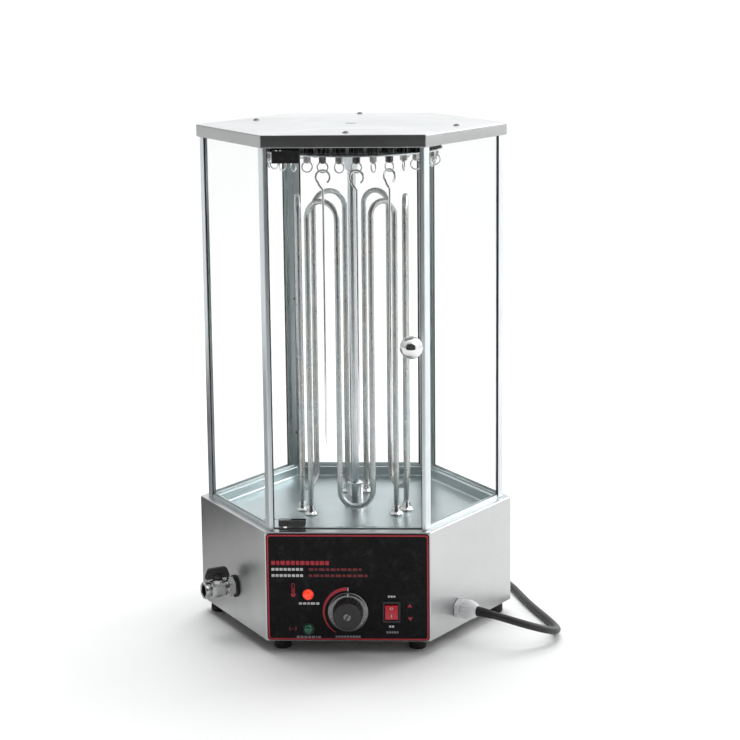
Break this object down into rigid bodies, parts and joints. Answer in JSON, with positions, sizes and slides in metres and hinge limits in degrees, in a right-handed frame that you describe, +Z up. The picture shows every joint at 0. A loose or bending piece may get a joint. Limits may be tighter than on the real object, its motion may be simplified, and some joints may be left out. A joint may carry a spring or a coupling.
{
  "type": "vertical rotisserie broiler",
  "caption": "Hexagonal glass cabinet on a steel base, with tubular heaters round a driven shaft, a turning wheel of skewer hangers, a hinged glass door and a drip tray with a drain tap.",
  "frame": {"origin": "on the floor under the middle of the whole appliance's plan, 14.5 mm in front of the shaft's axis, level with the soles of the feet", "axes": "+Z up along the shaft, -Y out of the front face (door and controls), +X to the viewer's right"},
  "size_m": [0.4376, 0.5035, 0.6],
  "materials": {
    "stainless": "brushed",
    "tray_steel": "satin, stained",
    "chrome": "polished",
    "heater_sheath": "heat-tinted steel",
    "glass": "clear, tempered",
    "panel_film": "fine-grained printed film",
    "black_plastic": "satin",
    "hinge_black": "black satin",
    "white_nylon": "satin",
    "red_lens": "translucent",
    "green_lens": "translucent",
    "red_rocker": "gloss",
    "rubber": "matte",
    "cord_sheath": "satin",
    "zinc": "zinc-plated"
  },
  "bodies": {
    "cabinet": {"base_housing": "stainless", "bottom_plate": "zinc", "drip_tray": "tray_steel", "control_panel": "panel_film", "thermostat_body": "zinc", "heating_lamp": "red_lens", "power_lamp": "green_lens", "motor_switch_housing": "black_plastic", "drain_tap_washer": "rubber", "drain_tap_body": "chrome", "cable_gland_body": "white_nylon", "cable_gland_nut": "white_nylon", "power_cord": "cord_sheath", "cord_coil": "cord_sheath", "cord_tail": "cord_sheath", "mains_plug": "black_plastic", "gearmotor": "zinc", "shaft_collar": "chrome", "hinge_plate_bottom": "hinge_black", "hinge_plate_top": "hinge_black", "top_cover": "stainless", "top_bearing": "zinc", "gear_ring": "zinc", "foot_1": "rubber", "foot_2": "rubber", "foot_3": "rubber", "foot_4": "rubber", "foot_5": "rubber", "foot_6": "rubber", "heater_front": "heater_sheath", "heater_right": "heater_sheath", "heater_left": "heater_sheath", "post_right": "stainless", "post_rear_right": "stainless", "post_rear_left": "stainless", "post_left": "stainless", "post_front_left": "stainless", "post_front_right": "stainless", "glass_rear": "glass", "glass_rear_left": "glass", "glass_left": "glass", "glass_right": "glass", "glass_rear_right": "glass"},
    "door": {"door_glass": "glass", "door_knob": "chrome", "hinge_clip_top": "hinge_black", "hinge_clip_bottom": "hinge_black"},
    "wheel": {"drive_shaft": "chrome", "shaft_coupling": "zinc", "skewer_wheel": "stainless", "wheel_hub": "stainless"},
    "hanger_1": {"hanger_1": "zinc"},
    "hanger_2": {"hanger_2": "zinc"},
    "hanger_3": {"hanger_3": "zinc"},
    "skewer_1": {"skewer_1": "chrome"},
    "skewer_2": {"skewer_2": "chrome"},
    "skewer_3": {"skewer_3": "chrome"},
    "thermostat_dial": {"thermostat_knob": "black_plastic"},
    "motor_rocker": {"motor_switch_rocker": "red_rocker"},
    "tap_lever": {"drain_tap_handle": "black_plastic"}
  },
  "joints": [
    {"name": "door_swing", "type": "hinge", "parent": "cabinet", "child": "door", "pos_m": [-0.072, -0.14022, 0.365], "axis": [0, 0, -1], "range_deg": [0, 110]},
    {"name": "wheel_spin", "type": "hinge", "parent": "cabinet", "child": "wheel", "pos_m": [0, 0.01448, 0.571], "axis": [0, 0, 1], "continuous": true},
    {"name": "hanger_spin_1", "type": "hinge", "parent": "wheel", "child": "hanger_1", "pos_m": [-0.02733, -0.08146, 0.571], "axis": [0, 0, 1], "continuous": true},
    {"name": "skewer_swing_1", "type": "hinge", "parent": "hanger_1", "child": "skewer_1", "pos_m": [-0.02733, -0.08146, 0.5516], "axis": [0, 1, 0], "range_deg": [-3, 3]},
    {"name": "hanger_spin_2", "type": "hinge", "parent": "wheel", "child": "hanger_2", "pos_m": [0.01146, -0.08461, 0.571], "axis": [0, 0, 1], "continuous": true},
    {"name": "skewer_swing_2", "type": "hinge", "parent": "hanger_2", "child": "skewer_2", "pos_m": [0.01146, -0.08461, 0.5516], "axis": [0.2079, 0.9781, 0], "range_deg": [-3, 3]},
    {"name": "hanger_spin_3", "type": "hinge", "parent": "wheel", "child": "hanger_3", "pos_m": [0.04851, -0.07268, 0.571], "axis": [0, 0, 1], "continuous": true},
    {"name": "skewer_swing_3", "type": "hinge", "parent": "hanger_3", "child": "skewer_3", "pos_m": [0.04851, -0.07268, 0.5516], "axis": [0.5736, 0.8192, 0], "range_deg": [-3, 3]},
    {"name": "thermostat_turn", "type": "hinge", "parent": "cabinet", "child": "thermostat_dial", "pos_m": [0, -0.16352, 0.052], "axis": [0, 1, 0], "range_deg": [0, 270]},
    {"name": "motor_rocker_tilt", "type": "hinge", "parent": "cabinet", "child": "motor_rocker", "pos_m": [0.05, -0.15317, 0.052], "axis": [1, 0, 0], "range_deg": [0, 15.7]},
    {"name": "tap_turn", "type": "hinge", "parent": "cabinet", "child": "tap_lever", "pos_m": [-0.15942, -0.08449, 0.075], "axis": [0, 0, 1], "range_deg": [0, 90]}
  ],
  "couplings": [
    {"joint": "hanger_spin_1", "follows": "wheel_spin", "ratio": 13.778},
    {"joint": "hanger_spin_2", "follows": "wheel_spin", "ratio": 13.778},
    {"joint": "hanger_spin_3", "follows": "wheel_spin", "ratio": 13.778}
  ]
}
